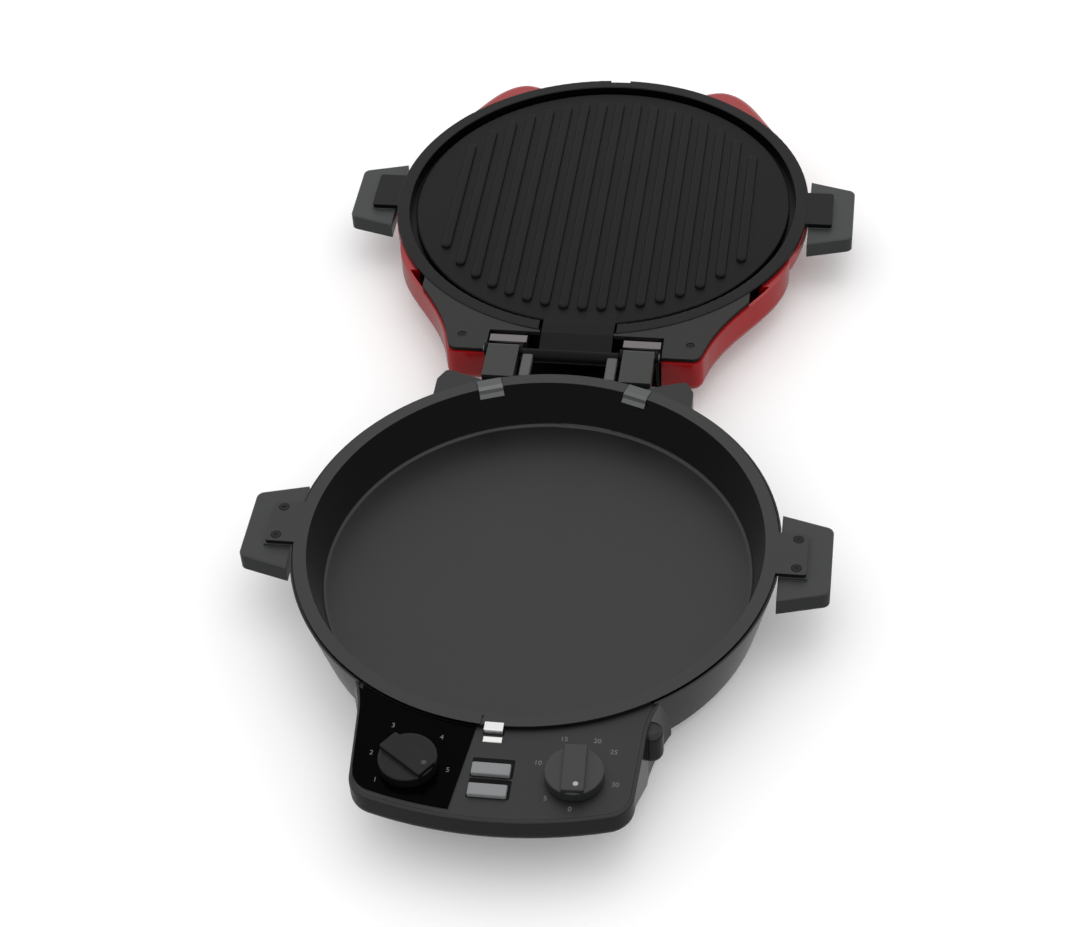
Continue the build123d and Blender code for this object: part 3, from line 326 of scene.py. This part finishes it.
def piece_from_mesh(mesh, name, material, body):
    """Object of a mesh, dressed and riding on a body."""
    mesh.materials.clear()
    mesh.materials.append(material)
    piece = bpy.data.objects.new(name, mesh)
    scene.collection.objects.link(piece)
    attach(piece, body)
    return piece


def piece_from_bmesh(work, name, material, body):
    """Object of a mesh in the making, dressed and riding on a body."""
    mesh = bpy.data.meshes.new(name)
    work.to_mesh(mesh)
    work.free()
    return piece_from_mesh(mesh, name, material, body)


def make_numeral(text, place, name, material):
    """Printed number lying flat on the panel."""
    curve = bpy.data.curves.new(name, "FONT")
    curve.body = text
    curve.size = MARK_HEIGHT / FIGURE_SHARE
    curve.extrude = MARK_THICK / 2
    curve.align_x = "CENTER"
    curve.align_y = "CENTER"
    holder = bpy.data.objects.new(name + "_text", curve)
    scene.collection.objects.link(holder)
    bpy.context.view_layer.update()
    mesh = bpy.data.meshes.new_from_object(holder)
    bpy.data.objects.remove(holder)
    bpy.data.curves.remove(curve)
    mesh.transform(Matrix.Translation(place))
    piece_from_mesh(mesh, name, material, "base")


def make_dial_marks(marks, centre, z, label, material):
    """Numbers round one dial, each at its own turn and distance."""
    for text, turn, distance in marks:
        a = math.radians(turn)
        away = Vector((math.sin(a), math.cos(a), 0))
        place = Vector((centre.x, centre.y, z + MARK_THICK / 2)) + away * distance * MM
        make_numeral(text, place, label + "_" + text, material)


def join_rings(work, first, second):
    """Band of faces between two closed rings with the same number of points."""
    count = len(first)
    for i in range(count):
        j = (i + 1) % count
        work.faces.new((first[i], first[j], second[j], second[i]))


def flat_ring(outer, inner, z, thick):
    """Flat frame between an outer and an inner outline with the same number of points."""
    work = bmesh.new()
    rows = []
    for level in (z, z + thick):
        rows.append([work.verts.new((x, y, level)) for x, y in outer])
        rows.append([work.verts.new((x, y, level)) for x, y in inner])
    low_out, low_in, high_out, high_in = rows
    join_rings(work, high_out, high_in)
    join_rings(work, low_in, low_out)
    join_rings(work, low_out, high_out)
    join_rings(work, high_in, low_in)
    return work


def rounded_rectangle(x0, x1, y0, y1, radius):
    """Outline of a rectangle with round corners."""
    points = []
    left, right = x0 + radius, x1 - radius
    front, rear = y0 + radius, y1 - radius
    for x, y, start in ((right, rear, 0), (left, rear, 90), (left, front, 180), (right, front, 270)):
        for k in range(CORNER_STEPS + 1):
            a = math.radians(start + 90 * k / CORNER_STEPS)
            points.append((x + radius * math.cos(a), y + radius * math.sin(a)))
    return points


def make_button_shade_sheets(materials):
    """Thin dark sheets of painted shade round the push buttons, standing in for the shadowed gaps, wider along
    their rear and right edges.
    """
    for name in ("button_rear", "button_front"):
        low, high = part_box(name)
        outer = rounded_rectangle(low.x - BUTTON_SHADE_LEFT, high.x + BUTTON_SHADE_RIGHT,
                                  low.y - BUTTON_SHADE_FRONT, high.y + BUTTON_SHADE_REAR, BUTTON_SHADE_OUTER_CORNER)
        inner = rounded_rectangle(low.x - BUTTON_SHADE_GAP, high.x + BUTTON_SHADE_GAP,
                                  low.y - BUTTON_SHADE_GAP, high.y + BUTTON_SHADE_GAP, BUTTON_SHADE_INNER_CORNER)
        work = flat_ring(outer, inner, PANEL_Z, BUTTON_SHADE_THICK)
        # each sheet is painted shade: a dark sheet lying where the gaps round the button fall into shadow
        piece_from_bmesh(work, name + "_painted_shade", materials["frame_black"], "base")


def make_pointer_dot(knob, centre, turn, material):
    """Paint dot, a little domed, filling the shallow dimple near the end of a knob's bar."""
    floor_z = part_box(knob)[1].z - DIMPLE_DEPTH
    a = math.radians(turn)
    x = centre.x + (POINTER_X * math.cos(a) - POINTER_Y * math.sin(a)) * MM
    y = centre.y + (POINTER_X * math.sin(a) + POINTER_Y * math.cos(a)) * MM
    work = bmesh.new()
    rings = []
    for share, height in DOT_PROFILE:
        radius = share * DOT_RADIUS
        z = floor_z + height * MM
        turns = [2 * math.pi * k / DOT_STEPS for k in range(DOT_STEPS)]
        rings.append([work.verts.new((x + radius * math.cos(t), y + radius * math.sin(t), z)) for t in turns])
    for lower, upper in zip(rings, rings[1:]):
        join_rings(work, lower, upper)
    work.faces.new(rings[-1])
    work.faces.new(list(reversed(rings[0])))
    piece_from_bmesh(work, knob + "_pointer", material, knob)


def make_floor():
    """Plain pale floor, left out of reflections so that upright black faces stay dark."""
    bpy.ops.mesh.primitive_plane_add(size=FLOOR_SIZE, location=(0, 0, 0))
    floor = bpy.context.object
    floor.name = "floor"
    floor.visible_glossy = False
    mat, _, shader = new_material("floor_paint")
    shader.inputs["Base Color"].default_value = srgb(252, 252, 252)
    shader.inputs["Roughness"].default_value = 0.9
    shader.inputs["Specular IOR Level"].default_value = 0.1
    shader.inputs["Emission Color"].default_value = (1, 1, 1, 1)
    shader.inputs["Emission Strength"].default_value = FLOOR_GLOW
    floor.data.materials.append(mat)


def make_surroundings():
    """White all round, dimmer below the horizon."""
    world = bpy.data.worlds.new("studio")
    world.use_nodes = True
    tree = world.node_tree
    link = tree.links.new
    back = tree.nodes["Background"]
    back.inputs["Color"].default_value = (1, 1, 1, 1)
    direction = add(tree, "ShaderNodeTexCoord")
    parts = add(tree, "ShaderNodeSeparateXYZ")
    link(direction.outputs["Generated"], parts.inputs[0])
    strength = remap(tree, parts.outputs["Z"], GROUND_Z, 0, GROUND_STRENGTH, SKY_STRENGTH)
    link(strength, back.inputs["Strength"])
    scene.world = world


def make_key_light():
    """Square soft box above the appliance."""
    data = bpy.data.lights.new("key", "AREA")
    data.shape = "SQUARE"
    data.size = KEY_SIZE
    data.energy = KEY_POWER
    lamp = bpy.data.objects.new("key", data)
    lamp.location = KEY_PLACE
    aim = Vector(KEY_TARGET) - Vector(KEY_PLACE)
    lamp.rotation_euler = aim.to_track_quat("-Z", "Y").to_euler()
    scene.collection.objects.link(lamp)


scene.view_settings.view_transform = "Standard"
materials = make_materials()
dress_nodes(materials)
make_dial_marks(TIMER_MARKS, RIGHT_DIAL, PANEL_Z, "timer_mark", materials["mark_grey"])
make_dial_marks(HEAT_MARKS, LEFT_DIAL, GLOSS_Z, "heat_mark", materials["mark_grey"])
make_button_shade_sheets(materials)
make_pointer_dot("knob_left", LEFT_DIAL, LEFT_TURN, materials["mark_faint"])
make_pointer_dot("knob_right", RIGHT_DIAL, RIGHT_TURN, materials["mark_white"])
make_camera()
make_floor()
make_surroundings()
make_key_light()
